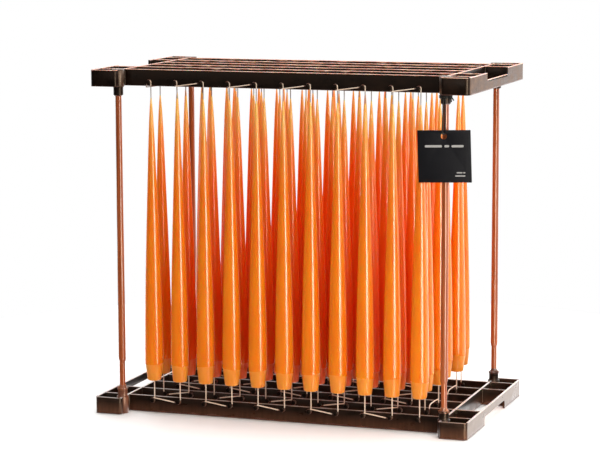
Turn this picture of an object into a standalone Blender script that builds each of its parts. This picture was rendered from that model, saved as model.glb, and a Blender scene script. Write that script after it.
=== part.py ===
"""Dipping frame for taper candles, with the finished tapers still strung in it.

Two identical ribbed plastic grids face each other across four rods. One wick runs up
and down between the headed rows of pegs, and carries eleven tapers in each of six rows.
A square card tag hangs on a cord from the front right rod socket.

Metres, +Z up, front towards -Y. The origin is at the middle of the frame's footprint.
"""

import math

import bmesh
import bpy
from mathutils import Matrix, Vector

# Whole frame
LENGTH = 0.537
DEPTH = 0.302
HEIGHT = 0.485
GAP = 0.0003                    # clearance between touching pieces

# Grids
GRID_HEIGHT = 0.0236
WALL = 0.0026
END_LENGTH = 0.036              # end face to the middle of the cross wall
OUTER_RADIUS = 0.004
INNER_RADIUS = 0.005
ROWS = 6
ROW_PITCH = 0.0478
NOTCH_WIDTH = 0.114
NOTCH_DEPTH = 0.0125
NOTCH_RADIUS = 0.005

# Rods and their sockets
ROD_INSET_X = 0.0339
ROD_INSET_Y = 0.0154
BOSS_RADIUS = 0.0085
BOSS_RISE = 0.0004              # how far a boss stands proud of the walls, as a foot
COLLAR_RADIUS = 0.0068
COLLAR_HEIGHT = 0.012
SOCKET_FLOOR = 0.003
ROD_RADIUS = 0.004
COAT_START = 0.075              # height where the wax coat on the rods begins
COAT_LOW_RADIUS = 0.0053
COAT_HIGH_RADIUS = 0.0043

# Pegs and wick
CANDLES = 11
CANDLE_PITCH = 0.0388
PEG_RADIUS = 0.0018
PEG_LENGTH = 0.005
PEG_FROM_EDGE = 0.0055          # peg axis to the edge of the wall on the candle side
WICK_RADIUS = 0.0009

# Tapers
CANDLE_BASE_Z = 0.0475
CANDLE_LENGTH = 0.3975
# Height above the base, and radius: cut foot, widest point, body, shoulder, tip
CANDLE_PROFILE = (
    (0.0, 0.0098),
    (0.0246, 0.01265),
    (0.168, 0.0101),
    (0.364, 0.0036),
    (0.3965, 0.0014),
)

# Tag and cord
CORD_RADIUS = 0.001
STRAND_OFFSET = 0.0013
TAG_WIDTH = 0.0727
TAG_HEIGHT = 0.0694
TAG_THICKNESS = 0.001
TAG_HOLE_RADIUS = 0.004
TAG_HOLE_DROP = 0.0080          # hole centre below the tag's top edge
TAG_TILT = math.radians(2.0)
TAG_HOLE_Z = 0.4067
NOOSE_Z = 0.4572
KNOT_RADIUS = 0.0024

# Worked-out places
CROSS_X = LENGTH / 2 - END_LENGTH
ROD_X = LENGTH / 2 - ROD_INSET_X
ROD_Y = DEPTH / 2 - ROD_INSET_Y
ROW_Y = [(row - (ROWS - 1) / 2) * ROW_PITCH for row in range(ROWS)]
PEG_X = [(number - (CANDLES - 1) / 2) * CANDLE_PITCH for number in range(CANDLES)]
WICK_OFFSET = PEG_RADIUS + WICK_RADIUS + GAP + 0.00005
WICK_Y_DROP = WALL / 2 + PEG_LENGTH / 2
LOW_EDGE = GRID_HEIGHT
HIGH_EDGE = HEIGHT - GRID_HEIGHT
LOW_PEG_Z = LOW_EDGE - PEG_FROM_EDGE
HIGH_PEG_Z = HIGH_EDGE + PEG_FROM_EDGE
NOOSE_RADIUS = COLLAR_RADIUS + GAP + CORD_RADIUS
NOOSE_Y = -ROD_Y - NOOSE_RADIUS
TAG_Y = NOOSE_Y - 0.0006
CORD_HOLE_Z = TAG_HOLE_Z + TAG_HOLE_RADIUS - GAP - CORD_RADIUS

# ---------------------------------------------------------------- scene helpers

def clear_scene():
    for old in list(bpy.data.objects):
        bpy.data.objects.remove(old, do_unlink=True)


def new_collection(name):
    collection = bpy.data.collections.new(name)
    bpy.context.scene.collection.children.link(collection)
    return collection


def material(name, colour, roughness, metallic=0.0):
    made = bpy.data.materials.new(name)
    made.use_nodes = True
    shader = made.node_tree.nodes["Principled BSDF"]
    shader.inputs["Base Color"].default_value = (*colour, 1.0)
    shader.inputs["Roughness"].default_value = roughness
    shader.inputs["Metallic"].default_value = metallic
    return made


def add_object(name, data, collection, surface):
    made = bpy.data.objects.new(name, data)
    collection.objects.link(made)
    if surface is not None and not data.materials:
        data.materials.append(surface)
    return made


def mesh_from_bmesh(name, bm):
    mesh = bpy.data.meshes.new(name)
    bm.to_mesh(mesh)
    bm.free()
    return mesh


def smooth(mesh, angle=35.0):
    mesh.shade_smooth()
    mesh.set_sharp_from_angle(angle=math.radians(angle))


def baked_mesh(source, name):
    """The source's evaluated mesh in world space, with its caps welded."""
    bpy.context.view_layer.update()
    graph = bpy.context.evaluated_depsgraph_get()
    mesh = bpy.data.meshes.new_from_object(source.evaluated_get(graph))
    mesh.name = name
    mesh.transform(source.matrix_world)
    bm = bmesh.new()
    bm.from_mesh(mesh)
    bmesh.ops.remove_doubles(bm, verts=bm.verts, dist=0.00001)
    bmesh.ops.recalc_face_normals(bm, faces=bm.faces)
    bm.to_mesh(mesh)
    bm.free()
    return mesh


def hide_as_cutter(cutter):
    cutter.hide_render = True
    cutter.display_type = "WIRE"


def combine(target, other, operation):
    modifier = target.modifiers.new(operation.title(), "BOOLEAN")
    modifier.operation = operation
    modifier.solver = "EXACT"
    modifier.object = other


# ---------------------------------------------------------------- outlines

def arc(centre, radius, start, end, steps=4):
    points = []
    for step in range(steps + 1):
        angle = math.radians(start + (end - start) * step / steps)
        points.append((centre[0] + radius * math.cos(angle), centre[1] + radius * math.sin(angle)))
    return points


def rectangle(low_x, low_y, high_x, high_y):
    return [(low_x, low_y), (high_x, low_y), (high_x, high_y), (low_x, high_y)]


def extruded_outline(name, loops, thickness, collection):
    """A flat outline with its holes, extruded evenly about its plane, as a mesh."""
    curve = bpy.data.curves.new(name, "CURVE")
    curve.dimensions = "2D"
    curve.fill_mode = "BOTH"
    curve.extrude = thickness / 2
    for loop in loops:
        spline = curve.splines.new("POLY")
        spline.points.add(len(loop) - 1)
        for point, place in zip(spline.points, loop):
            point.co = (place[0], place[1], 0.0, 1.0)
        spline.use_cyclic_u = True
    drawn = add_object(name + "_outline", curve, collection, None)
    mesh = baked_mesh(drawn, name)
    bpy.data.objects.remove(drawn, do_unlink=True)
    return mesh


def grid_outline():
    """Plan of the grid's outer edge: two long end blocks and the recessed long walls."""
    inner_x = CROSS_X - WALL / 2
    outer_x = LENGTH / 2
    outer_y = DEPTH / 2
    recess_y = ROW_Y[-1] + WALL / 2
    quarter = [(inner_x, recess_y)]
    quarter += arc((inner_x + INNER_RADIUS, outer_y - INNER_RADIUS), INNER_RADIUS, 180, 90)
    quarter += arc((outer_x - OUTER_RADIUS, outer_y - OUTER_RADIUS), OUTER_RADIUS, 90, 0)
    right = quarter + [(x, -y) for x, y in reversed(quarter)]
    return right + [(-x, y) for x, y in reversed(right)]


def grid_cells():
    """Plan of every opening in the grid."""
    half = WALL / 2
    cells = []
    for low, high in zip(ROW_Y, ROW_Y[1:]):
        cells.append(rectangle(half - CROSS_X, low + half, CROSS_X - half, high - half))
    edges = [-DEPTH / 2 + half, ROW_Y[0], ROW_Y[1], ROW_Y[-2], ROW_Y[-1], DEPTH / 2 - half]
    for low, high in zip(edges, edges[1:]):
        near_x = CROSS_X + half
        far_x = LENGTH / 2 - WALL
        cells.append(rectangle(near_x, low + half, far_x, high - half))
        cells.append(rectangle(-far_x, low + half, -near_x, high - half))
    return cells


# ---------------------------------------------------------------- the grid

def cylinder(bm, radius, low, high, x, y, sides):
    """A closed upright cylinder between two heights."""
    place = Matrix.Translation((x, y, (low + high) / 2))
    bmesh.ops.create_cone(
        bm, cap_ends=True, segments=sides, radius1=radius, radius2=radius,
        depth=high - low, matrix=place,
    )


def corner_cylinders(name, radius, low, high, collection, sides=16):
    bm = bmesh.new()
    for x in (-ROD_X, ROD_X):
        for y in (-ROD_Y, ROD_Y):
            cylinder(bm, radius, low, high, x, y, sides)
    made = add_object(name, mesh_from_bmesh(name, bm), collection, None)
    hide_as_cutter(made)
    return made


def peg_bodies(collection):
    """Every peg of one grid, rooted half a wall deep in the front face of its wall."""
    bm = bmesh.new()
    length = PEG_LENGTH + WALL / 2
    for row_y in ROW_Y:
        for x in PEG_X:
            middle = Vector((x, row_y - length / 2, LOW_PEG_Z))
            place = Matrix.Translation(middle) @ Matrix.Rotation(math.radians(90), 4, "X")
            bmesh.ops.create_cone(
                bm, cap_ends=True, segments=8, radius1=PEG_RADIUS, radius2=PEG_RADIUS,
                depth=length, matrix=place,
            )
    pegs = add_object("peg_bodies", mesh_from_bmesh("peg_bodies", bm), collection, None)
    hide_as_cutter(pegs)
    return pegs


def notch_cutter(side, collection):
    """Finger notch through one end wall, open on the grid's outer face."""
    half = NOTCH_WIDTH / 2
    below = -0.002
    loop = [(half, below)]
    loop += arc((half - NOTCH_RADIUS, NOTCH_DEPTH - NOTCH_RADIUS), NOTCH_RADIUS, 0, 90)
    loop += arc((NOTCH_RADIUS - half, NOTCH_DEPTH - NOTCH_RADIUS), NOTCH_RADIUS, 90, 180)
    loop += [(-half, below)]
    mesh = extruded_outline("finger_notch", [loop], 4 * WALL, collection)
    upright = Matrix.Rotation(math.radians(90), 4, "Z") @ Matrix.Rotation(math.radians(90), 4, "X")
    mesh.transform(Matrix.Translation((side * LENGTH / 2, 0, 0)) @ upright)
    cutter = add_object("finger_notch", mesh, collection, None)
    hide_as_cutter(cutter)
    return cutter


def grid_mesh(cutters, surface):
    """One moulding, candle side up, standing on its outer face."""
    wall_height = GRID_HEIGHT - BOSS_RISE
    plan = extruded_outline("grid", [grid_outline()] + grid_cells(), wall_height, cutters)
    plan.transform(Matrix.Translation((0, 0, BOSS_RISE + wall_height / 2)))
    body = add_object("grid_body", plan, cutters, None)
    boss_top = GRID_HEIGHT + BOSS_RISE
    collar_top = GRID_HEIGHT + COLLAR_HEIGHT
    helpers = [
        (corner_cylinders("bosses", BOSS_RADIUS, 0.0, boss_top, cutters), "UNION"),
        (corner_cylinders("collars", COLLAR_RADIUS, GRID_HEIGHT / 2, collar_top, cutters), "UNION"),
        (peg_bodies(cutters), "UNION"),
        (corner_cylinders(
            "sockets", ROD_RADIUS + GAP, SOCKET_FLOOR, 2 * collar_top, cutters), "DIFFERENCE"),
        (notch_cutter(1, cutters), "DIFFERENCE"),
        (notch_cutter(-1, cutters), "DIFFERENCE"),
    ]
    for helper, operation in helpers:
        combine(body, helper, operation)
    mesh = baked_mesh(body, "grid")
    smooth(mesh)
    mesh.materials.clear()
    mesh.materials.append(surface)
    bpy.data.objects.remove(body, do_unlink=True)
    for helper, _ in helpers:
        bpy.data.objects.remove(helper, do_unlink=True)
    return mesh


def build_grids(parts, cutters, surface):
    mesh = grid_mesh(cutters, surface)
    add_object("bottom_grid", mesh, parts, surface)
    top = add_object("top_grid", mesh, parts, surface)
    top.location = (0, 0, HEIGHT)
    top.rotation_euler = (0, math.pi, 0)


# ---------------------------------------------------------------- rods

def build_rods(parts, surface):
    """Four rods in blind sockets, each with its wax coat from COAT_START upwards."""
    foot = SOCKET_FLOOR + GAP
    profile = [
        (0.0, HEIGHT - foot),
        (ROD_RADIUS, HEIGHT - foot),
        (ROD_RADIUS, HIGH_EDGE - COLLAR_HEIGHT - GAP),
        (COAT_HIGH_RADIUS, HIGH_EDGE - COLLAR_HEIGHT - 0.004),
        (COAT_LOW_RADIUS, COAT_START + 0.002),
        (ROD_RADIUS, COAT_START),
        (ROD_RADIUS, foot),
        (0.0, foot),
    ]
    mesh = bpy.data.meshes.new("rod")
    points = [(radius, 0.0, z) for radius, z in profile]
    mesh.from_pydata(points, [(i, i + 1) for i in range(len(points) - 1)], [])
    mesh.materials.append(surface)
    for side, x in (("left", -ROD_X), ("right", ROD_X)):
        for face, y in (("front", -ROD_Y), ("back", ROD_Y)):
            rod = add_object(f"{face}_{side}_rod", mesh, parts, surface)
            rod.location = (x, y, 0)
            turn = rod.modifiers.new("Turn", "SCREW")
            turn.steps = 16
            turn.render_steps = 16
            turn.use_merge_vertices = True
            turn.merge_threshold = 0.0001
            turn.use_smooth_shade = True


# ---------------------------------------------------------------- tapers on their wick

def wick_side(row):
    """The wick passes right of the pegs in rows 1, 3 and 5 and left of them in the others."""
    return 1 if row % 2 == 0 else -1


def wick_place(row, number):
    """X and Y of the wick, and so of the taper, in a row."""
    return PEG_X[number] + wick_side(row) * WICK_OFFSET, ROW_Y[row] - WICK_Y_DROP


def taper(row, number):
    """Points and radii of one taper, from its foot up to its tip."""
    x, y = wick_place(row, number)
    points = [((x, y, CANDLE_BASE_Z - 0.0001), WICK_RADIUS)]
    for height, radius in CANDLE_PROFILE:
        points.append(((x, y, CANDLE_BASE_Z + height), radius))
    points.append(((x, y, CANDLE_BASE_Z + CANDLE_LENGTH), WICK_RADIUS))
    return points


def round_peg(row, number, height, angles):
    """Wick points round a peg, by angle in the XZ plane from +X towards +Z."""
    y = ROW_Y[row] - WICK_Y_DROP
    points = []
    for angle in angles:
        turn = math.radians(angle)
        x = PEG_X[number] + WICK_OFFSET * math.cos(turn)
        z = height + WICK_OFFSET * math.sin(turn)
        points.append(((x, y, z), WICK_RADIUS))
    return points


def top_link(row, left):
    """Wick from the left taper's tip over the top pegs to the right taper's tip."""
    if wick_side(row) > 0:
        x, y = wick_place(row, left)
        bend = [((x, y, HIGH_PEG_Z), WICK_RADIUS)]
        return bend + round_peg(row, left + 1, HIGH_PEG_Z, (105, 55, 0))
    x, y = wick_place(row, left + 1)
    bend = [((x, y, HIGH_PEG_Z), WICK_RADIUS)]
    return round_peg(row, left, HIGH_PEG_Z, (180, 125, 75)) + bend


def plain_foot(row, number):
    """Wick that hangs straight from a taper's foot to its peg."""
    x, y = wick_place(row, number)
    return [((x, y, LOW_PEG_Z), WICK_RADIUS)]


def hooked_foot(row, number):
    """Wick from the next taper's wick, under this taper's peg and up towards its foot."""
    side = wick_side(row)
    x, y = wick_place(row, number - side)
    start = [((x + side * (WICK_RADIUS + GAP), y, LOW_PEG_Z), WICK_RADIUS)]
    angles = (255, 305, 360) if side > 0 else (285, 235, 180)
    return start + round_peg(row, number, LOW_PEG_Z, angles)


def foot(row, number):
    """Everything below a taper, listed from its far end up to the taper."""
    partner_left = number % 2 == 1
    last = number == CANDLES - 1
    if last:
        return row_link(row) if row in (1, 3) else plain_foot(row, number)
    hooked = partner_left if wick_side(row) > 0 else not partner_left
    return hooked_foot(row, number) if hooked else plain_foot(row, number)


def row_link(row):
    """Slack wick at the right end, from the next row's wick over the wall to this row's peg."""
    last = CANDLES - 1
    next_x, next_y = wick_place(row + 1, last)
    near_y = ROW_Y[row] - WICK_Y_DROP
    route = [
        (next_x, next_y - WICK_RADIUS - GAP, LOW_EDGE + 0.0028),
        (next_x - 0.0006, next_y - 0.008, LOW_EDGE + 0.0034),
        (next_x - 0.0012, near_y + 0.020, LOW_EDGE + 0.0036),
        (next_x - 0.0010, near_y + 0.010, LOW_EDGE + 0.0034),
        (next_x - 0.0004, near_y + 0.0035, LOW_EDGE + 0.0022),
        (next_x, near_y + 0.0004, LOW_EDGE - 0.0012),
    ]
    points = [(place, WICK_RADIUS) for place in route]
    return points + round_peg(row, last, LOW_PEG_Z, (360, 315, 270, 225, 180))


def first_column_link(row):
    """Wick at the left end, over one row's peg, under the wall and over the next row's peg."""
    low = HIGH_EDGE - 0.0014
    start_y = ROW_Y[row] - WICK_Y_DROP
    end_y = ROW_Y[row + 1] - WICK_Y_DROP
    crossing = [
        ((PEG_X[0] - WICK_OFFSET, start_y, low + 0.0015), WICK_RADIUS),
        ((PEG_X[0] - WICK_OFFSET + 0.0004, start_y + 0.0012, low), WICK_RADIUS),
        ((PEG_X[0] + WICK_OFFSET - 0.0004, end_y - 0.0012, low), WICK_RADIUS),
        ((PEG_X[0] + WICK_OFFSET, end_y, low + 0.0015), WICK_RADIUS),
    ]
    up = round_peg(row, 0, HIGH_PEG_Z, (0, 45, 90, 135, 180))
    down = round_peg(row + 1, 0, HIGH_PEG_Z, (0, 45, 90, 135, 180))
    return up + crossing + down


def strung_curve(name, points, parts, surface):
    """A tube along the wick, as thick as the wax on it."""
    curve = bpy.data.curves.new(name, "CURVE")
    curve.dimensions = "3D"
    curve.bevel_depth = WICK_RADIUS
    curve.bevel_resolution = 2
    curve.use_fill_caps = True
    spline = curve.splines.new("POLY")
    spline.points.add(len(points) - 1)
    for point, (place, radius) in zip(spline.points, points):
        point.co = (*place, 1.0)
        point.radius = radius / WICK_RADIUS
    add_object(name, curve, parts, surface)


def build_tapers(parts, surface):
    for row in range(ROWS):
        for left in range(1, CANDLES - 1, 2):
            points = foot(row, left) + taper(row, left) + top_link(row, left)
            points += reversed(foot(row, left + 1) + taper(row, left + 1))
            name = f"taper_pair_row{row + 1}_{left + 1}_{left + 2}"
            strung_curve(name, points, parts, surface)
    for row in range(0, ROWS, 2):
        points = foot(row, 0) + taper(row, 0) + first_column_link(row)
        points += reversed(foot(row + 1, 0) + taper(row + 1, 0))
        strung_curve(f"taper_pair_rows{row + 1}_{row + 2}_1", points, parts, surface)


# ---------------------------------------------------------------- tag and cord

def smooth_route(points, steps):
    """Points read from a Catmull-Rom curve through the route's own points."""
    ends = [2 * points[0] - points[1]] + points + [2 * points[-1] - points[-2]]
    route = []
    for before, start, end, after in zip(ends, ends[1:], ends[2:], ends[3:]):
        for step in range(steps):
            t = step / steps
            bend = 2 * before - 5 * start + 4 * end - after
            twist = 3 * start - before - 3 * end + after
            route.append(0.5 * (2 * start + (end - before) * t + bend * t * t + twist * t ** 3))
    route.append(points[-1])
    return route


def cord_route():
    """Doubled cord: down in front of the tag, through its hole and up behind it."""
    top = NOOSE_Z - CORD_RADIUS - GAP
    inside = 0.0026
    half = STRAND_OFFSET
    bend = CORD_HOLE_Z
    return [
        Vector((ROD_X - half, NOOSE_Y, top)),
        Vector((ROD_X - half, NOOSE_Y - 0.0006, bend + 0.032)),
        Vector((ROD_X - half, TAG_Y - 0.0017, bend + 0.014)),
        Vector((ROD_X - half, TAG_Y - inside, bend + 0.0045)),
        Vector((ROD_X - half * 0.7, TAG_Y - 0.0019, bend + 0.0008)),
        Vector((ROD_X, TAG_Y, bend)),
        Vector((ROD_X + half * 0.7, TAG_Y + 0.0019, bend + 0.0008)),
        Vector((ROD_X + half, TAG_Y + inside, bend + 0.0045)),
        Vector((ROD_X + half, TAG_Y + 0.0017, bend + 0.014)),
        Vector((ROD_X + half, NOOSE_Y + 0.0001, bend + 0.032)),
        Vector((ROD_X + half, NOOSE_Y, top)),
    ]


def build_cord(parts, surface):
    curve = bpy.data.curves.new("tag_cord", "CURVE")
    curve.dimensions = "3D"
    curve.bevel_depth = CORD_RADIUS
    curve.bevel_resolution = 2
    curve.use_fill_caps = True
    pivot = Vector((ROD_X, NOOSE_Y, NOOSE_Z))
    route = [place - pivot for place in smooth_route(cord_route(), 2)]
    spline = curve.splines.new("POLY")
    spline.points.add(len(route) - 1)
    for point, place in zip(spline.points, route):
        point.co = (*place, 1.0)
    cord = add_object("tag_cord", curve, parts, surface)
    cord.location = pivot


def build_noose(parts, cutters, surface):
    """Cord tied round the socket's collar, with its knot on the right."""
    bpy.ops.mesh.primitive_torus_add(
        major_radius=NOOSE_RADIUS, minor_radius=CORD_RADIUS, major_segments=24, minor_segments=8,
    )
    noose = bpy.context.object
    noose.name = "cord_noose"
    for owner in list(noose.users_collection):
        owner.objects.unlink(noose)
    parts.objects.link(noose)
    noose.location = (ROD_X, -ROD_Y, NOOSE_Z)
    noose.data.materials.append(surface)
    reach = NOOSE_RADIUS + KNOT_RADIUS * 0.8
    turn = math.radians(-35)
    bm = bmesh.new()
    place = Matrix.Translation((
        ROD_X + reach * math.cos(turn), -ROD_Y + reach * math.sin(turn), NOOSE_Z))
    bmesh.ops.create_uvsphere(bm, u_segments=8, v_segments=6, radius=KNOT_RADIUS, matrix=place)
    knot = add_object("knot_body", mesh_from_bmesh("knot_body", bm), cutters, None)
    hide_as_cutter(knot)
    combine(noose, knot, "UNION")
    smooth(noose.data)


def build_tag(parts, cutters, surface):
    """Square card whose origin is the cord that it turns on in its hole."""
    hole_z = TAG_HOLE_Z - CORD_HOLE_Z
    top = hole_z + TAG_HOLE_DROP
    half = TAG_WIDTH / 2
    edge = rectangle(-half, top - TAG_HEIGHT, half, top)
    hole = arc((0.0, hole_z), TAG_HOLE_RADIUS, 0, 360, 16)[:-1]
    mesh = extruded_outline("hang_tag", [edge, hole], TAG_THICKNESS, cutters)
    mesh.transform(Matrix.Rotation(math.radians(90), 4, "X"))
    tag = add_object("hang_tag", mesh, parts, surface)
    tag.location = (ROD_X, TAG_Y, CORD_HOLE_Z)
    tag.rotation_euler = (0, -TAG_TILT, 0)


# ---------------------------------------------------------------- the whole object

def build():
    clear_scene()
    parts = new_collection("taper_dipping_frame")
    cutters = new_collection("cutters")
    plastic = material("brown_plastic", (0.030, 0.017, 0.011), 0.38)
    rod_metal = material("waxed_rod", (0.30, 0.115, 0.060), 0.32, 0.2)
    wax = material("orange_wax", (0.84, 0.26, 0.045), 0.30)
    cord = material("black_cord", (0.012, 0.011, 0.011), 0.85)
    card = material("black_card", (0.018, 0.018, 0.021), 0.60)
    build_grids(parts, cutters, plastic)
    build_rods(parts, rod_metal)
    build_tapers(parts, wax)
    build_cord(parts, cord)
    build_noose(parts, cutters, cord)
    build_tag(parts, cutters, card)


build()
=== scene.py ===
import math
import random

import bmesh
import bpy
from mathutils import Matrix, Vector, noise


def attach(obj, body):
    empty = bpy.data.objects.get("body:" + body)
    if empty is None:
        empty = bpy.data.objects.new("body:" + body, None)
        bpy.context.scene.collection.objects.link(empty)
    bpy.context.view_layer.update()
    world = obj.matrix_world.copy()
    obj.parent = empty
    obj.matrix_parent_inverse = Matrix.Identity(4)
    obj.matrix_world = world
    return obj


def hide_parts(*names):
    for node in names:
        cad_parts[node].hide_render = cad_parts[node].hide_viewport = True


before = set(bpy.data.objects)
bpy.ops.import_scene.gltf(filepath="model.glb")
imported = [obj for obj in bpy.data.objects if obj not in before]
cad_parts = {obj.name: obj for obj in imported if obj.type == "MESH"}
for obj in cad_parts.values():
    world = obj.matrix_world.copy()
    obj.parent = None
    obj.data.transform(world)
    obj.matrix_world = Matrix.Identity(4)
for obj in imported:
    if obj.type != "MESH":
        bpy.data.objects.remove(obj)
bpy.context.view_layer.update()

# -------- sizes, as in part.py, in metres

LENGTH, DEPTH, HEIGHT = 0.537, 0.302, 0.485
GRID_HEIGHT, WALL = 0.0236, 0.0026
ROWS, CANDLES = 6, 11
ROW_PITCH, CANDLE_PITCH = 0.0478, 0.0388
GAP = 0.0003
CROSS_X = LENGTH / 2 - 0.036
ROD_X, ROD_Y = LENGTH / 2 - 0.0339, DEPTH / 2 - 0.0154
SHOWN_LENGTH = LENGTH + 0.0044  # the visible end faces stand a little further out than the solids
ROW_Y = [(row - (ROWS - 1) / 2) * ROW_PITCH for row in range(ROWS)]
PEG_X = [(number - (CANDLES - 1) / 2) * CANDLE_PITCH for number in range(CANDLES)]
HIGH_EDGE = HEIGHT - GRID_HEIGHT
LOW_PEG_Z, HIGH_PEG_Z = GRID_HEIGHT - 0.0055, HIGH_EDGE + 0.0055
COLLAR_RADIUS, COLLAR_HEIGHT = 0.0068, 0.012
CORD_RADIUS, STRAND_OFFSET = 0.001, 0.0013
NOOSE_Z = 0.4572
NOOSE_RADIUS = COLLAR_RADIUS + GAP + CORD_RADIUS
NOOSE_Y = -ROD_Y - NOOSE_RADIUS
TAG_Y = NOOSE_Y - 0.0006
TAG_HOLE_Z, TAG_HOLE_RADIUS = 0.4067, 0.004
CORD_HOLE_Z = TAG_HOLE_Z + TAG_HOLE_RADIUS - GAP - CORD_RADIUS  # the cord's middle, where it carries the tag
UPRIGHT = Matrix.Rotation(math.radians(90), 4, "X")  # from a plan to the XZ plane


def link_object(name, data):
    """A new object in the scene."""
    made = bpy.data.objects.new(name, data)
    bpy.context.scene.collection.objects.link(made)
    return made

# -------- camera

def make_camera():
    data = bpy.data.cameras.new("camera")
    data.sensor_width, data.lens = 36.0, 135.2
    data.clip_start, data.clip_end = 0.1, 50.0
    camera = link_object("camera", data)
    yaw, pitch, roll = 0.3336, -0.1419, -0.0032
    ahead = Vector((-math.sin(yaw) * math.cos(pitch), math.cos(yaw) * math.cos(pitch), math.sin(pitch)))
    level = Vector((math.cos(yaw), math.sin(yaw), 0.0))
    up = level.cross(ahead)
    right = level * math.cos(roll) + up * math.sin(roll)
    up = up * math.cos(roll) - level * math.sin(roll)
    turn = Matrix((right, up, -ahead)).transposed().to_4x4()
    camera.matrix_world = Matrix.Translation((1.02224, -2.99622, 0.70578)) @ turn
    bpy.context.scene.camera = camera


make_camera()

# -------- mesh helpers

def show(name, mesh, surfaces, body, slot=None, nodes=(), indices=None, smooth=50.0):
    """Makes a mesh a visible piece that rides on a body and stands for CAD nodes."""
    mesh.materials.clear()
    for surface in surfaces:
        mesh.materials.append(surface)
    if indices:
        mesh.polygons.foreach_set("material_index", indices)
    mesh.shade_smooth()
    mesh.set_sharp_from_angle(angle=math.radians(smooth))
    made = link_object(name, mesh)
    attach(made, body)
    if nodes:
        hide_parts(*nodes)
    return made


class Builder:
    """Collects vertices, faces and material numbers of one piece."""

    def __init__(self):
        self.verts, self.faces, self.indices = [], [], []

    def rings(self, rings, index=0, closed=False):
        """Joins rings of equal size to a closed skin. index is a material's number, or one for each band."""
        start, count = len(self.verts), len(rings[0])
        for ring in rings:
            self.verts.extend(ring)
        bands = len(rings) if closed else len(rings) - 1
        kinds = index if isinstance(index, list) else [index] * bands
        for band in range(bands):
            low = start + band * count
            high = start + ((band + 1) % len(rings)) * count
            for k in range(count):
                after = (k + 1) % count
                self.faces.append((low + k, low + after, high + after, high + k))
                self.indices.append(kinds[band])
        if not closed:
            self.faces.append(tuple(start + k for k in reversed(range(count))))
            self.faces.append(tuple(start + (len(rings) - 1) * count + k for k in range(count)))
            self.indices += [kinds[0], kinds[-1]]

    def make(self, name, surfaces, body, **more):
        """The collected skins as one piece."""
        mesh = bpy.data.meshes.new(name)
        mesh.from_pydata([tuple(v) for v in self.verts], [], self.faces)
        mesh.update()
        return show(name, mesh, surfaces, body, indices=self.indices, **more)


def frames_along(path, closed=False):
    """A steady pair of cross directions at each point of a path."""
    before = [path[-1] if closed else path[0]] + path[:-1]
    after = path[1:] + [path[0] if closed else path[-1]]
    tangents = [(far - near).normalized() for near, far in zip(before, after)]
    side = tangents[0].orthogonal().normalized()
    found = []
    for tangent in tangents:
        side = (side - tangent * side.dot(tangent)).normalized()
        found.append((side, tangent.cross(side)))
    return found


def twisted(path, radius, sides=10, closed=False):
    """Rings of a three-strand cord along a path."""
    strands, groove, twist = 3, 0.16, 2.2 / radius * 0.42
    rings, run = [], 0.0
    for k, (point, (side, up)) in enumerate(zip(path, frames_along(path, closed))):
        if k:
            run += (point - path[k - 1]).length
        ring = []
        for step in range(sides):
            angle = 2 * math.pi * step / sides
            swell = 1.0 - groove * (0.5 - 0.5 * math.cos(strands * (angle - twist * run)))
            ring.append(point + (side * math.cos(angle) + up * math.sin(angle)) * radius * swell)
        rings.append(ring)
    return rings


def smooth_route(points, steps):
    """Points read from a Catmull-Rom curve through the route's own points."""
    ends = [2 * points[0] - points[1]] + points + [2 * points[-1] - points[-2]]
    route = []
    for before, start, end, after in zip(ends, ends[1:], ends[2:], ends[3:]):
        for step in range(steps):
            t = step / steps
            bend = 2 * before - 5 * start + 4 * end - after
            twist = 3 * start - before - 3 * end + after
            route.append(0.5 * (2 * start + (end - before) * t + bend * t * t + twist * t ** 3))
    route.append(points[-1])
    return route


def even_route(points, spacing):
    """The same route with points at an even spacing."""
    lengths = [(b - a).length for a, b in zip(points, points[1:])]
    total = sum(lengths)
    count = max(2, round(total / spacing))
    route, index, passed = [], 0, 0.0
    for k in range(count + 1):
        place = total * k / count
        while index < len(lengths) - 1 and passed + lengths[index] < place:
            passed += lengths[index]
            index += 1
        share = (place - passed) / max(lengths[index], 1e-9)
        route.append(points[index].lerp(points[index + 1], min(share, 1.0)))
    return route

# -------- materials

def new_material(name, colour, roughness, **sockets):
    """A Principled material, its node tree and its shader. sockets has values by socket name, with _ for a space."""
    made = bpy.data.materials.new(name)
    made.use_nodes = True
    tree = made.node_tree
    shader = tree.nodes["Principled BSDF"]
    shader.inputs["Base Color"].default_value = (*colour, 1.0)
    shader.inputs["Roughness"].default_value = roughness
    for socket, value in sockets.items():
        shader.inputs[socket.replace("_", " ")].default_value = value
    return made, tree, shader


def feed(tree, socket, value):
    """Links an output to a socket, or sets the socket's own value."""
    if isinstance(value, bpy.types.NodeSocket):
        tree.links.new(value, socket)
    else:
        socket.default_value = value


def add_node(tree, kind, inputs=None, **settings):
    """A shader node. inputs has values, or other nodes' outputs to link, by input name or number."""
    made = tree.nodes.new(f"ShaderNode{kind}")
    for name, value in settings.items():
        setattr(made, name, value)
    for key, value in (inputs or {}).items():
        feed(tree, made.inputs[key], value)
    return made


def noise_node(tree, scale, detail=3.0, rough=0.5, stretch=(1.0, 1.0, 1.0)):
    """Noise on the object's coordinates, finer along an axis with a larger stretch."""
    source = add_node(tree, "TexCoord")
    placed = add_node(tree, "Mapping", {"Vector": source.outputs["Object"], "Scale": stretch})
    inputs = {"Vector": placed.outputs["Vector"], "Scale": scale, "Detail": detail, "Roughness": rough}
    return add_node(tree, "TexNoise", inputs).outputs["Fac"]


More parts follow.
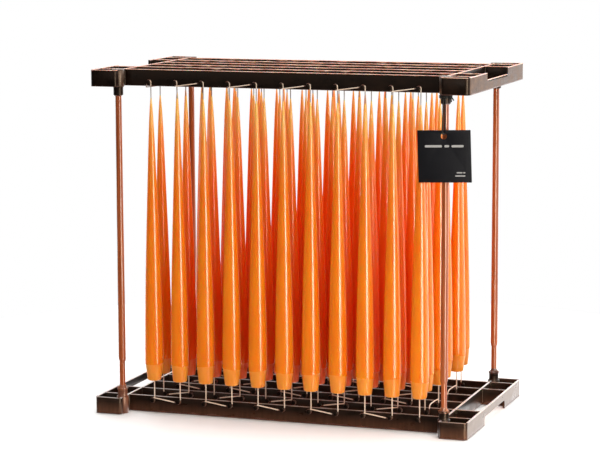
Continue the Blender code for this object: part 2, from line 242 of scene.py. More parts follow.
def ramp_node(tree, factor, stops):
    """Colours or grey levels by position."""
    made = add_node(tree, "ValToRGB", {"Fac": factor})
    made.color_ramp.elements.remove(made.color_ramp.elements[1])
    for k, (position, colour) in enumerate(stops):
        element = made.color_ramp.elements[0] if k == 0 else made.color_ramp.elements.new(position)
        element.position = position
        element.color = (*colour, 1.0) if hasattr(colour, "__len__") else (colour, colour, colour, 1.0)
    return made.outputs["Color"]


def mix_node(tree, factor, first, second):
    """The first colour where the factor is 0 and the second where it is 1."""
    made = add_node(tree, "Mix", {0: factor}, data_type="RGBA")
    colours = [socket for socket in made.inputs if socket.type == "RGBA"]
    for socket, colour in zip(colours, (first, second)):
        feed(tree, socket, (*colour, 1.0) if isinstance(colour, tuple) else colour)
    return next(socket for socket in made.outputs if socket.type == "RGBA")


def range_node(tree, value, low, high):
    """0 where the value is low and 1 where it is high."""
    return add_node(tree, "MapRange", {"Value": value, "From Min": low, "From Max": high}).outputs["Result"]


def axis_outputs(tree):
    """Object coordinates, an output for each axis."""
    source = add_node(tree, "TexCoord")
    return add_node(tree, "SeparateXYZ", {"Vector": source.outputs["Object"]}).outputs


def height_node(tree, low, high):
    return range_node(tree, axis_outputs(tree)["Z"], low, high)


def painted_shade_mask(tree):
    """Painted shade: 1 deep and low among the tapers, where they shade each other, 0 where light gets through the
    wax: outer rows, outer columns and tips.
    """
    axes, inside = axis_outputs(tree), []
    for axis, outer, inner in (("X", 0.19, 0.15), ("Y", 0.108, 0.082), ("Z", 0.40, 0.16)):
        size = add_node(tree, "Math", {0: axes[axis]}, operation="ABSOLUTE")
        inside.append(range_node(tree, size.outputs["Value"], outer, inner))
    product = inside[0]
    for output in inside[1:]:
        product = add_node(tree, "Math", {0: product, 1: output}, operation="MULTIPLY").outputs["Value"]
    return product


def paint(tree, shader, colour):
    tree.links.new(colour, shader.inputs["Base Color"])


def bump_node(tree, shader, height, strength, distance):
    made = add_node(tree, "Bump", {"Height": height, "Strength": strength, "Distance": distance})
    tree.links.new(made.outputs["Normal"], shader.inputs["Normal"])


def plastic_material(name, fade_span, bare, worn, film_low, film_high, shine=0.28):
    """Near-black brown moulding under a patchy film of thin brown wax, thicker low down."""
    made, tree, shader = new_material(name, bare, 0.3, Specular_IOR_Level=shine, Specular_Tint=(1.0, 0.76, 0.62, 1.0))
    patches = noise_node(tree, 38.0, 5.0, 0.62, (1.0, 1.0, 2.2))
    streaks = noise_node(tree, 1.0, stretch=(260.0, 260.0, 18.0))
    film = mix_node(tree, ramp_node(tree, patches, ((0.42, 0.0), (0.68, 1.0))), bare, worn)
    fade = ramp_node(tree, height_node(tree, *fade_span), ((0.15, 1.0), (0.75, 0.0)))
    skin = mix_node(tree, streaks, film_low, film_high)
    paint(tree, shader, mix_node(tree, fade, film, skin))
    tree.links.new(ramp_node(tree, patches, ((0.3, 0.24), (0.7, 0.46))), shader.inputs["Roughness"])
    bump_node(tree, shader, streaks, 0.25, 0.0006)
    return made


def wax_material(name, colour, deep, roughness, weight, scale, pale=None, shaded_tint=None):
    """Dyed wax with soft clouding, fine dipping ripples and light that soaks in. It can be painted paler towards the
    tips, for light through the thin wax, and a deeper red among the tapers, as painted shade.
    """
    made, tree, shader = new_material(name, colour, roughness, Subsurface_Weight=weight, Subsurface_Scale=scale,
                                      Subsurface_Radius=(1.0, 0.25, 0.06), IOR=1.44, Specular_IOR_Level=0.5)
    clouds = noise_node(tree, 55.0, stretch=(1.0, 1.0, 0.25))
    tint = mix_node(tree, ramp_node(tree, clouds, ((0.35, 0.0), (0.65, 1.0))), colour, deep)
    if pale:
        # Painted light: the wax is painted paler towards the tips, for light shining through the thin wax.
        tip = ramp_node(tree, height_node(tree, 0.32, 0.446), ((0.0, 0.0), (0.5, 0.25), (0.8, 0.7), (1.0, 1.0)))
        tint = mix_node(tree, tip, tint, pale)
    # Painted shade: a deeper red mixed in deep and low among the tapers.
    if shaded_tint:
        tint = mix_node(tree, painted_shade_mask(tree), tint, shaded_tint)
    paint(tree, shader, tint)
    ripples = noise_node(tree, 1.0, 2.0, stretch=(30.0, 30.0, 90.0))
    bump_node(tree, shader, ripples, 0.02, 0.0005)
    return made


LOW_FADE, HIGH_FADE = (0.0, GRID_HEIGHT), (-0.06, 0.02)  # heights between which the wax film thins out

PLASTIC_LOW = plastic_material("grid_plastic_low", LOW_FADE, (0.007, 0.003, 0.0015), (0.018, 0.007, 0.004),
                               (0.034, 0.011, 0.005), (0.110, 0.042, 0.022))
PLASTIC_HIGH = plastic_material("grid_plastic_high", HIGH_FADE, (0.003, 0.0012, 0.0006), (0.008, 0.003, 0.0015),
                                (0.003, 0.0012, 0.0006), (0.008, 0.003, 0.0015), 0.17)
# The end faces are painted pale: partly the wax film, partly a painted reflection of the bright surroundings.
END_LOW_FILM_AND_REFLECTION = plastic_material("end_face_low_film_and_painted_reflection", LOW_FADE, (0.20, 0.155, 0.13), (0.30, 0.25, 0.22),
                           (0.16, 0.115, 0.095), (0.30, 0.24, 0.21), 0.22)
END_HIGH_FILM_AND_REFLECTION = plastic_material("end_face_high_film_and_painted_reflection", HIGH_FADE, (0.085, 0.040, 0.020), (0.18, 0.110, 0.072),
                            (0.055, 0.026, 0.014), (0.19, 0.120, 0.080), 0.05)
BLOCK_LOW = plastic_material("block_face_low", LOW_FADE, (0.014, 0.006, 0.003), (0.034, 0.014, 0.008),
                             (0.060, 0.022, 0.011), (0.160, 0.066, 0.036))
# Top socket bosses: a streaky wax film, its lighter colour partly a painted highlight.
SOCKET_HIGH_FILM_AND_HIGHLIGHT = plastic_material("socket_film_and_painted_highlight_high", HIGH_FADE, (0.030, 0.019, 0.012), (0.090, 0.056, 0.038),
                               (0.022, 0.013, 0.008), (0.045, 0.029, 0.020), 0.4)
SOCKET_LOW = plastic_material("socket_film_low", (0.0, 0.05), (0.150, 0.050, 0.026), (0.24, 0.085, 0.045),
                              (0.110, 0.036, 0.020), (0.21, 0.080, 0.048), 0.5)
# Both taper waxes are painted a deeper red among the tapers as painted shade. The glossy one is also painted paler at
# the tips, as light through the wax.
WAX = wax_material("taper_wax_glossy", (0.82, 0.235, 0.008), (0.80, 0.200, 0.006), 0.19, 0.85, 0.014,
                   pale=(0.80, 0.48, 0.09), shaded_tint=(0.92, 0.130, 0.012))
CUT_WAX = wax_material("taper_wax_cut", (0.84, 0.290, 0.022), (0.80, 0.25, 0.018), 0.32, 0.45, 0.006,
                       shaded_tint=(0.86, 0.13, 0.016))
EDGE_WAX = wax_material("edge_wax", (0.52, 0.21, 0.125), (0.76, 0.46, 0.34), 0.36, 0.3, 0.0015)
DULL_WAX = wax_material("dull_edge_wax", (0.16, 0.10, 0.075), (0.34, 0.24, 0.19), 0.34, 0.1, 0.001)
LUMP_WAX = wax_material("lump_wax", (0.060, 0.022, 0.012), (0.50, 0.16, 0.060), 0.28, 0.2, 0.0012)
PALE_WAX = wax_material("pale_edge_wax", (0.50, 0.44, 0.40), (0.66, 0.60, 0.56), 0.34, 0.2, 0.001)
DARK_WAX = wax_material("brown_wax", (0.085, 0.030, 0.018), (0.15, 0.055, 0.032), 0.30, 0.1, 0.001)


def rod_material():
    made, tree, shader = new_material("rod_wax_coat", (0.35, 0.10, 0.03), 0.17, Specular_IOR_Level=0.42,
                                      Subsurface_Weight=0.15, Subsurface_Scale=0.002)
    runs = noise_node(tree, 1.0, stretch=(420.0, 420.0, 9.0))
    tint = mix_node(tree, ramp_node(tree, runs, ((0.36, 0.0), (0.66, 1.0))),
                    (0.28, 0.056, 0.013), (0.44, 0.112, 0.032))
    paint(tree, shader, tint)
    bump_node(tree, shader, runs, 0.3, 0.0008)
    return made


def wick_material(name, clean, soaked, fluff):
    made, tree, shader = new_material(name, clean, 0.62, Sheen_Weight=0.25)
    fibre = noise_node(tree, 1.0, stretch=(900.0, 900.0, 900.0))
    patches = noise_node(tree, 60.0, 2.0)
    tint = mix_node(tree, ramp_node(tree, patches, ((0.35, 0.0), (0.7, 1.0))),
                    clean, soaked)
    paint(tree, shader, mix_node(tree, ramp_node(tree, fibre, ((0.3, 0.0), (0.8, 0.6))), tint, fluff))
    bump_node(tree, shader, fibre, 0.5, 0.0004)
    return made


def cord_material():
    made, tree, shader = new_material("cord_black", (0.006, 0.005, 0.005), 0.85, Sheen_Weight=0.06,
                                      Specular_IOR_Level=0.2)
    fibre = noise_node(tree, 1.0, stretch=(1100.0, 1100.0, 500.0))
    paint(tree, shader, mix_node(tree, fibre, (0.003, 0.0025, 0.002), (0.012, 0.010, 0.009)))
    bump_node(tree, shader, fibre, 0.6, 0.0003)
    return made


def card_material():
    made, tree, shader = new_material("card_black", (0.010, 0.010, 0.012), 0.6, Specular_IOR_Level=0.1)
    grain = noise_node(tree, 1500.0, 4.0, 0.7)
    clouds = noise_node(tree, 30.0)
    tint = mix_node(tree, clouds, (0.003, 0.003, 0.005), (0.007, 0.007, 0.010))
    specks = ramp_node(tree, grain, ((0.55, 0.0), (0.75, 0.5)))
    paint(tree, shader, mix_node(tree, specks, tint, (0.020, 0.020, 0.024)))
    tree.links.new(ramp_node(tree, grain, ((0.3, 0.5), (0.7, 0.66))), shader.inputs["Roughness"])
    bump_node(tree, shader, grain, 0.25, 0.0002)
    return made


def print_material():
    made, tree, shader = new_material("pale_print", (0.62, 0.60, 0.56), 0.5)
    worn = noise_node(tree, 900.0, 4.0, 0.6)
    fade = ramp_node(tree, worn, ((0.5, 0.0), (0.8, 0.7)))
    paint(tree, shader, mix_node(tree, fade, (0.44, 0.43, 0.42), (0.24, 0.24, 0.24)))
    return made


ROD = rod_material()
WICK = wick_material("wick_cotton", (0.80, 0.62, 0.48), (0.70, 0.44, 0.28), (0.88, 0.76, 0.64))
TOP_WICK = wick_material("wick_scorched", (0.20, 0.135, 0.095), (0.15, 0.085, 0.05), (0.32, 0.23, 0.17))
CORD = cord_material()
CARD = card_material()
PRINT = print_material()

# -------- tag cord

def cord_route():
    """Doubled cord: down in front of the tag, through its hole and up behind it."""
    top, bend = NOOSE_Z - CORD_RADIUS - GAP, CORD_HOLE_Z
    runs = []
    for side, drift in ((-1, 0.0006), (1, 0.0001)):
        x = ROD_X + side * STRAND_OFFSET
        runs.append([Vector(place) for place in (
            (x, NOOSE_Y, top),
            (x, NOOSE_Y + side * drift, bend + 0.032),
            (x, TAG_Y + side * 0.0017, bend + 0.014),
            (x, TAG_Y + side * 0.0026, bend + 0.0045),
            (ROD_X + side * STRAND_OFFSET * 0.7, TAG_Y + side * 0.0019, bend + 0.0008),
        )])
    return runs[0] + [Vector((ROD_X, TAG_Y, bend))] + runs[1][::-1]


def make_cord():
    route = even_route(smooth_route(cord_route(), 8), 0.0008)
    built = Builder()
    built.rings(twisted(route, CORD_RADIUS * 1.04))
    strand = built.make("tag_cord_strand", [CORD], "cord", slot="black_cord", nodes=["tag_cord"])


def make_noose():
    """Two turns of cord round the collar, a knot on the front right, and two frayed tails."""
    built = Builder()
    for lift, phase in ((0.0, 0.0), (0.0019, 0.4)):
        path = []
        for step in range(72):
            angle = 2 * math.pi * step / 72
            path.append(Vector((
                ROD_X + NOOSE_RADIUS * math.cos(angle), -ROD_Y + NOOSE_RADIUS * math.sin(angle),
                NOOSE_Z + lift + 0.0002 * math.sin(2 * angle + phase))))
        built.rings(twisted(path, CORD_RADIUS, 8, closed=True), closed=True)
    turn = math.radians(-38)
    reach = COLLAR_RADIUS + 0.0036
    knot = Vector((ROD_X + reach * math.cos(turn), -ROD_Y + reach * math.sin(turn), NOOSE_Z + 0.0008))
    out = Vector((math.cos(turn), math.sin(turn), 0.0))
    along = Vector((-math.sin(turn), math.cos(turn), 0.0))
    path = []
    for step in range(64):
        angle = 2 * math.pi * step / 64
        lobe = 0.0013 + 0.0006 * math.cos(3 * angle)
        path.append(knot + along * lobe * math.cos(2 * angle) * 1.1
                    + Vector((0, 0, 1)) * lobe * math.sin(2 * angle) + out * 0.0009 * math.sin(3 * angle))
    built.rings(twisted(path, CORD_RADIUS * 0.9, 8, closed=True), closed=True)
    for drift, drop in ((Vector((0.0045, -0.001, 0.0)), 0.0042), (Vector((0.0022, -0.0035, 0.0)), 0.0058)):
        tail = [knot + drift * out_share + Vector((0, 0, -drop * down_share))
                for out_share, down_share in ((0.0, 0.0), (0.45, 0.2), (0.8, 0.6), (1.0, 1.0))]
        tail = even_route(smooth_route(tail, 6), 0.0006)
        built.rings(twisted(tail, CORD_RADIUS * 0.95, 8))
    built.make("cord_noose_tied", [CORD], "frame", slot="black_cord", nodes=["cord_noose"])


make_cord()
make_noose()

# -------- hang tag

TAG_WIDTH, TAG_HEIGHT, TAG_THICKNESS = 0.0727, 0.0694, 0.001
TAG_HOLE_SHOWN, TAG_HOLE_DROP = 0.0042, 0.0080  # the visible hole is a little wider, clear of the twisted cord
TAG_TILT = math.radians(2.0)
PLATE_SMOOTH = 40.0  # degrees, for pieces cut from a flat plate


def tag_matrix():
    """From the tag's own plan, x right and y up from the hole's middle, to its place."""
    hole = Vector((ROD_X, TAG_Y, CORD_HOLE_Z))
    return (Matrix.Translation(hole) @ Matrix.Rotation(-TAG_TILT, 4, "Y")
            @ Matrix.Translation((0, 0, -(TAG_HOLE_RADIUS - GAP - CORD_RADIUS)))
            @ UPRIGHT)


def arc(cx, cy, radius, start, end, steps=4):
    """Points on a circle from one angle to another, in degrees."""
    return [(cx + radius * math.cos(math.radians(start + (end - start) * k / steps)),
             cy + radius * math.sin(math.radians(start + (end - start) * k / steps))) for k in range(steps + 1)]


def rounded(low, high, radius, steps=4):
    """A rectangle's outline with round corners."""
    points = []
    for cx, cy, start in ((high[0] - radius, low[1] + radius, -90), (high[0] - radius, high[1] - radius, 0),
                          (low[0] + radius, high[1] - radius, 90), (low[0] + radius, low[1] + radius, 180)):
        points += arc(cx, cy, radius, start, start + 90, steps)
    return points


def plate(loops, thickness, bevel=0.0, centre=0.0):
    """A mesh of a flat outline with holes, with rounded rims."""
    curve = bpy.data.curves.new("plate", "CURVE")
    curve.dimensions, curve.fill_mode = "2D", "BOTH"
    curve.extrude = thickness / 2
    for loop in loops:
        spline = curve.splines.new("POLY")
        spline.points.add(len(loop) - 1)
        for point, place in zip(spline.points, loop):
            point.co = (place[0], place[1], 0.0, 1.0)
        spline.use_cyclic_u = True
    drawn = link_object("plate", curve)
    bpy.context.view_layer.update()
    mesh = bpy.data.meshes.new_from_object(drawn.evaluated_get(bpy.context.evaluated_depsgraph_get()))
    bpy.data.objects.remove(drawn, do_unlink=True)
    bm = bmesh.new()
    bm.from_mesh(mesh)
    bmesh.ops.remove_doubles(bm, verts=bm.verts, dist=0.00001)
    bmesh.ops.recalc_face_normals(bm, faces=bm.faces)
    if bevel:
        rims = [edge for edge in bm.edges if len(edge.link_faces) == 2
                and edge.calc_face_angle(0.0) > math.radians(70)
                and any(abs(face.normal.z) > 0.9 for face in edge.link_faces)]
        bmesh.ops.bevel(bm, geom=rims, offset=bevel, segments=2, profile=0.5, affect="EDGES",
                        clamp_overlap=True)
    bmesh.ops.translate(bm, verts=bm.verts, vec=(0, 0, centre))
    bm.to_mesh(mesh)
    bm.free()
    return mesh


def make_tag():
    low = (-TAG_WIDTH / 2, TAG_HOLE_DROP - TAG_HEIGHT)
    high = (TAG_WIDTH / 2, TAG_HOLE_DROP)
    turns = [step * math.pi / 16 for step in range(32)]
    hole = [(TAG_HOLE_SHOWN * math.cos(turn), TAG_HOLE_SHOWN * math.sin(turn)) for turn in turns]
    mesh = plate([rounded(low, high, 0.0008), hole], TAG_THICKNESS, bevel=0.00022)
    for vertex in mesh.vertices:
        vertex.co.z += 0.0002 * math.sin((vertex.co.x - low[0]) / TAG_WIDTH * math.pi) - 0.0001
    mesh.transform(tag_matrix())
    show("card_tag", mesh, [CARD], "tag", slot="black_card", nodes=["hang_tag"], smooth=PLATE_SMOOTH)
    marks = Builder()
    place = tag_matrix()
    face = TAG_THICKNESS / 2 + 0.00016

    def mark(x, y, width, height):
        """A flat bar of pale ink, its middle at x, y from the tag's top left corner."""
        cx, cy = low[0] + x, high[1] - y
        ring = rounded((cx - width / 2, cy - height / 2), (cx + width / 2, cy + height / 2), height * 0.45, 3)
        marks.rings([[place @ Vector((px, py, z)) for px, py in ring] for z in (face - 0.0002, face)])

    x = 0.0100
    for width, step in ((0.0235, 0.0268), (0.0065, 0.0097), (0.0165, 0.0)):
        mark(x + width / 2, 0.0212, width, 0.0030)
        x += step
    for y, start, widths in ((0.0563, 0.0525, (0.008, 0.0028)), (0.0606, 0.0505, (0.0138,))):
        x = start
        for width in widths:
            mark(x + width / 2, y, width, 0.0016)
            x += width + 0.0010
    marks.make("tag_print", [PRINT], "tag")


make_tag()

# -------- grids

CORNER_RADIUS = 0.0062
BLOCK_FACE_DEPTH, END_WAX_STOP = 0.0068, 0.0065  # how far in from the front and back the rounded corners reach


def grid_outline():
    """The right back quarter of the outline, then its mirror images."""
    inner, outer, back = CROSS_X - WALL / 2, SHOWN_LENGTH / 2, DEPTH / 2
    quarter = arc(inner - 0.002, ROW_Y[-1] + WALL / 2 + 0.002, 0.002, 270, 360, 3)
    quarter += arc(inner + 0.005, back - 0.005, 0.005, 180, 90, 6)
    quarter += arc(outer - CORNER_RADIUS, back - CORNER_RADIUS, CORNER_RADIUS, 90, 0, 8)
    right = quarter + [(x, -y) for x, y in reversed(quarter)]
    return right + [(-x, y) for x, y in reversed(right)]


END_EDGES = [-DEPTH / 2 + WALL / 2, ROW_Y[0], ROW_Y[1], ROW_Y[-2], ROW_Y[-1], DEPTH / 2 - WALL / 2]


def grid_cells():
    """The openings between the long walls and in the two end blocks."""
    half = WALL / 2
    cells = [rounded((half - CROSS_X, low + half), (CROSS_X - half, high - half), 0.0012, 3)
             for low, high in zip(ROW_Y, ROW_Y[1:])]
    for low, high in zip(END_EDGES, END_EDGES[1:]):
        near, far = CROSS_X + half, SHOWN_LENGTH / 2 - WALL
        cells.append(rounded((near, low + half), (far, high - half), 0.0016, 3))
        cells.append(rounded((-far, low + half), (-near, high - half), 0.0016, 3))
    return cells


NOTCH_HALF, NOTCH_DEPTH, NOTCH_RADIUS = 0.057, 0.0125, 0.005
WALL_FOOT = 0.0007


def notch_corner():
    return arc(NOTCH_HALF - NOTCH_RADIUS, NOTCH_DEPTH - NOTCH_RADIUS, NOTCH_RADIUS, 0, 90)


def cut_notches(body):
    """Takes the finger notches out of both end walls, on the outer side of the grid."""
    loop = [(NOTCH_HALF, -0.002)] + notch_corner()
    loop += arc(NOTCH_RADIUS - NOTCH_HALF, NOTCH_DEPTH - NOTCH_RADIUS, NOTCH_RADIUS, 90, 180)
    loop += [(-NOTCH_HALF, -0.002)]
    for side in (1, -1):
        mesh = plate([loop], 4 * WALL)
        turn = Matrix.Rotation(math.radians(90), 4, "Z") @ UPRIGHT
        mesh.transform(Matrix.Translation((side * SHOWN_LENGTH / 2, 0, 0)) @ turn)
        cutter = link_object("cutter", mesh)
        cut = body.modifiers.new("Notch", "BOOLEAN")
        cut.operation, cut.solver, cut.object = "DIFFERENCE", "EXACT", cutter
        bpy.context.view_layer.update()
        done = bpy.data.meshes.new_from_object(body.evaluated_get(bpy.context.evaluated_depsgraph_get()))
        body.modifiers.clear()
        body.data = done
        bpy.data.objects.remove(cutter, do_unlink=True)


def lathe(built, profile, place, sides=20, index=0, wobble=None):
    """Rings of radius and height turned about the place's own Z axis."""
    rings = []
    for number, (radius, height) in enumerate(profile):
        ring = []
        for step in range(sides):
            angle = 2 * math.pi * step / sides
            size, lift = wobble(number, angle) if wobble else (1.0, 0.0)
            ring.append(place @ Vector((radius * size * math.cos(angle), radius * size * math.sin(angle),
                                        height + lift)))
        rings.append(ring)
    built.rings(rings, index)


def flipped(high):
    """The top grid is the bottom one turned over about the Y axis."""
    return Matrix.Translation((0, 0, HEIGHT)) @ Matrix.Rotation(math.pi, 4, "Y") if high else Matrix.Identity(4)


def grid_body(level, high):
    """The moulding, with the faces of its end walls and of its blocks in materials of their own."""
    tall = GRID_HEIGHT - WALL_FOOT
    mesh = plate([grid_outline()] + grid_cells(), tall, bevel=0.0005, centre=WALL_FOOT + tall / 2)
    body = link_object("grid_raw", mesh)
    cut_notches(body)
    mesh = body.data
    bpy.data.objects.remove(body, do_unlink=True)
    mesh.transform(flipped(high))
    surfaces = [PLASTIC_HIGH, END_HIGH_FILM_AND_REFLECTION, PLASTIC_HIGH] if high else [PLASTIC_LOW, END_LOW_FILM_AND_REFLECTION, BLOCK_LOW]
    made = show(f"{level}_grid_moulding", mesh, surfaces, "frame", slot="grid_plastic", nodes=[f"{level}_grid"],
                smooth=PLATE_SMOOTH)
    for face in made.data.polygons:
        # End faces take the pale material: wax film and painted reflection.
        if abs(face.normal.x) > 0.9 and abs(face.center.x) > SHOWN_LENGTH / 2 - 0.001:
            face.material_index = 1
        elif abs(face.center.y) > DEPTH / 2 - BLOCK_FACE_DEPTH and abs(face.normal.z) < 0.5:
            face.material_index = 2


# Radius and height of a socket's rings: up its outside, over the lip and into its mouth.
SOCKET = (
    (0.0, 0.0), (0.0080, 0.0), (0.0084, 0.0004), (0.0084, 0.0236), (0.0080, 0.0241), (0.0073, 0.0244),
    (0.0070, 0.0252), (0.0068, 0.0265), (0.0068, 0.0335), (0.0072, 0.0344), (0.0074, 0.0350), (0.0072, 0.0356),
    (0.0056, 0.0356), (0.0047, 0.0350), (0.0045, 0.0325), (0.0, 0.0325),
)
FILM_Z, LIP_Z = 0.0246, 0.03  # heights of the collar's foot and of a place below its lip
AXIS_RADIUS = 0.00005  # a ring of radius 0 would have no area


def grid_sockets(level, high):
    """Four sockets. The top ones have no lip proud of the collar, where the cord hangs past it."""
    built = Builder()
    profile = [(max(radius, AXIS_RADIUS), z) for radius, z in SOCKET]
    if high:
        profile = [(min(radius, COLLAR_RADIUS) if z > LIP_Z else radius, z) for radius, z in profile]
    for x in (-ROD_X, ROD_X):
        for y in (-ROD_Y, ROD_Y):
            waxed = x < 0 and y < 0 and not high
            kinds = [int(high and z < FILM_Z or waxed) for _, z in SOCKET[1:]]
            lathe(built, profile, flipped(high) @ Matrix.Translation((x, y, 0)), 28, kinds)
    surfaces = [PLASTIC_HIGH, SOCKET_HIGH_FILM_AND_HIGHLIGHT] if high else [PLASTIC_LOW, SOCKET_LOW]
    built.make(f"{level}_grid_sockets", surfaces, "frame", slot="grid_plastic")


PEG = ((0.0020, -0.0010), (0.0023, 0.0), (0.0018, 0.0007), (0.00175, 0.0042), (0.0024, 0.0047),
       (0.0029, 0.0050), (0.0030, 0.0054), (0.0026, 0.0058), (0.0014, 0.0060), (0.0001, 0.0060))


def grid_pegs(level, high):
    """Headed pegs on the front of every long wall."""
    built = Builder()
    z = HIGH_PEG_Z if high else LOW_PEG_Z
    for row_y in ROW_Y:
        for x in PEG_X:
            lathe(built, PEG, Matrix.Translation((x, row_y - WALL / 2, z)) @ UPRIGHT, 16)
    built.make(f"{level}_grid_pegs", [PLASTIC_HIGH], "frame", slot="grid_plastic")


for grid_level, is_high in (("bottom", False), ("top", True)):
    grid_body(grid_level, is_high)
    grid_sockets(grid_level, is_high)
    grid_pegs(grid_level, is_high)

# -------- wax left on the grids

def ripple(place, scale, seed):
    """Smooth noise between about -1 and 1."""
    return noise.noise(Vector(place) * scale + Vector((seed * 17.3, seed * 5.1, seed * 9.7)))


WAX_STEP = 0.0025


def saddle(built, start, end, up, across, thickness, deep, rough, seed, index=0):
    """Wax over a wall's edge, hanging down both faces by a depth that comes and goes."""
    route = even_route([start, end], WAX_STEP)
    total = len(route) - 1
    half, inner = WALL / 2, WALL / 2 - 0.0004
    rings = []
    for k, place in enumerate(route):
        def grain(scale, shift, place=place):
            return ripple(place, scale, seed + shift)

        def flank(sign, fat_side, low):
            return [(sign * inner, -low), (sign * (half + fat_side * 0.25), -low - 0.0001),
                    (sign * (half + fat_side * 0.75), -low * 0.72), (sign * (half + fat_side * 0.8), -low * 0.25),
                    (sign * (half + fat_side * 0.45), fat * 0.35), (sign * half * 0.4, fat * 0.85)]

        fat = max(0.25, 1.0 + 0.55 * grain(55.0, 0) + 0.3 * grain(190.0, 1)) * thickness
        fade = min(1.0, k / 3.0, (total - k) / 3.0) * 0.8 + 0.2
        lean = 1.5 * (grain(105.0, 20) - grain(105.0, 30)) if rough > 2 else 0.0
        lows = []
        for face in (-1, 1):
            hang = 1.0 + rough * (1.1 * grain(62.0, 3 + face) + 0.5 * grain(170.0, 8 + face))
            lows.append(max(0.0005, deep * hang * fade))
        outline = flank(-1, fat * max(0.1, 1.0 + lean), lows[0])
        outline += reversed(flank(1, fat * max(0.1, 1.0 - lean), lows[1]))
        outline += [(inner, -0.0006), (-inner, -0.0006)]
        rings.append([place + across * out + up * rise for out, rise in outline])
    built.rings(rings, index)


def wall_lines():
    """Middle lines of the long walls, the cross walls and the end-block walls, in plan."""
    far_x, far_y = SHOWN_LENGTH / 2 - WALL / 2, DEPTH / 2 - WALL / 2
    lines = [((-CROSS_X, y), (CROSS_X, y), "long") for y in ROW_Y]
    for side in (-1, 1):
        lines.append(((side * CROSS_X, -far_y), (side * CROSS_X, far_y), "cross"))
        for y in END_EDGES:
            lines.append(((side * CROSS_X, y), (side * (far_x - 0.001), y), "rib"))
    return lines


def end_wall_wax(built, side, z, sign, level, thickness, deep, rough):
    """Wax on one edge of an end wall. The outer edges have the finger notch, and the top one has wax in it too."""
    x, far_y, near_y = side * (SHOWN_LENGTH / 2 - WALL / 2), DEPTH / 2 - END_WAX_STOP, NOTCH_HALF + 0.0005
    notched = sign == (1 if level == "top" else -1)
    if notched:
        runs = [(-far_y, -near_y, 0.0, 0.5, 0.4, 90 + side * 3), (near_y, far_y, 0.0, 0.5, 0.4, 91 + side * 3)]
        if level == "top":
            notch_y, drop = notch_corner()[1]
            runs.append((-notch_y, notch_y, drop, 0.7, 0.4, 95 + side))
    else:
        runs = [(-far_y, far_y, 0.0, 1.0, 1.0, 80 + side)]
    for start_y, end_y, drop, thin, shallow, seed in runs:
        height = z - sign * drop
        saddle(built, Vector((x, start_y, height)), Vector((x, end_y, height)), Vector((0, 0, sign)),
               Vector((sign, 0, 0)), thickness * thin, deep * shallow, rough, seed)


def edge_wax():
    """Wax on all edges: most uneven on the top grid's upper ones, deepest on the bottom grid's lower ones."""
    settings = {
        # level, edge height, up, thickness, depth, unevenness
        ("top", "upper"): (HEIGHT - WALL_FOOT, 1, 0.00042, 0.0006, 2.4),
        ("top", "lower"): (HIGH_EDGE, -1, 0.00022, 0.0010, 0.6),
        ("bottom", "upper"): (GRID_HEIGHT, 1, 0.00014, 0.0004, 0.5),
        ("bottom", "lower"): (WALL_FOOT, -1, 0.00034, 0.0030, 1.6),
    }
    for (level, edge), (z, sign, thickness, deep, rough) in settings.items():
        built = Builder()
        bright = (level, edge) == ("bottom", "upper")
        up = Vector((0, 0, sign))
        for number, (start, end, kind) in enumerate(wall_lines()):
            line = Vector((end[0] - start[0], end[1] - start[1], 0.0)).normalized()
            outside = min(abs(abs(start[1]) - DEPTH / 2), abs(start[1] - ROW_Y[0])) < 0.002
            scale = 0.45 if outside else 1.0 if kind == "long" else 0.8
            seed = number + 31 * sign + (7 if level == "top" else 3)
            saddle(built, Vector((*start, z)), Vector((*end, z)), up, up.cross(line),
                   thickness * scale, deep * scale, rough, seed, int(bright and kind != "cross"))
        for side in (-1, 1):
            end_wall_wax(built, side, z, sign, level, thickness, deep, rough)
        wax = PALE_WAX if bright else EDGE_WAX if edge == "upper" else DARK_WAX
        built.make(f"{level}_grid_wax_{edge}", [wax, DULL_WAX] if bright else [wax], "frame",
                   slot="taper_wax" if wax is EDGE_WAX else "grid_plastic")


edge_wax()

# -------- rods

BARE_RADIUS, COAT_RADIUS = 0.0040, 0.0052
COAT_FOOT, COAT_HEAD = 0.077, 0.4492  # the wax coat starts with a step and ends just below the top sockets


def make_rods():
    """Rods with a wax coat that thins out upwards, bare near their feet and in the sockets."""
    foot, head = 0.0033, HEIGHT - 0.0033
    for side, x in (("left", -ROD_X), ("right", ROD_X)):
        for face, y in (("front", -ROD_Y), ("back", ROD_Y)):
            name = f"{face}_{side}_rod"
            seed = len(name) + (3 if side == "left" else 11)
            heights = [foot, 0.020, 0.034, 0.045, 0.060, 0.070, 0.0742, 0.0752, 0.0764, 0.080]
            heights += [0.080 + (0.446 - 0.080) * k / 46 for k in range(1, 47)] + [0.4490, 0.4496, head]
            profile = []
            for z in heights:
                if z < 0.075 or z > COAT_HEAD:
                    radius = BARE_RADIUS
                elif z < COAT_FOOT:
                    radius = 0.0050 if z > 0.076 else 0.0046
                else:
                    radius = COAT_RADIUS - 0.0009 * (z - COAT_FOOT) / 0.372
                profile.append((radius, z))

            def wobble(number, angle, seed=seed):
                z = profile[number][1]
                if z < 0.074 or z > COAT_HEAD:
                    return 1.0, 0.0
                swell = ripple((math.cos(angle) * 0.01, math.sin(angle) * 0.01, z * 0.35), 60.0, seed)
                return 1.0 + 0.03 * swell, 0.0009 * math.sin(angle + seed) if z < 0.078 else 0.0

            built = Builder()
            lathe(built, profile, Matrix.Translation((x, y, 0)), 24, wobble=wobble)
            built.make(f"{name}_waxed", [ROD], "frame", slot="waxed_rod", nodes=[name])


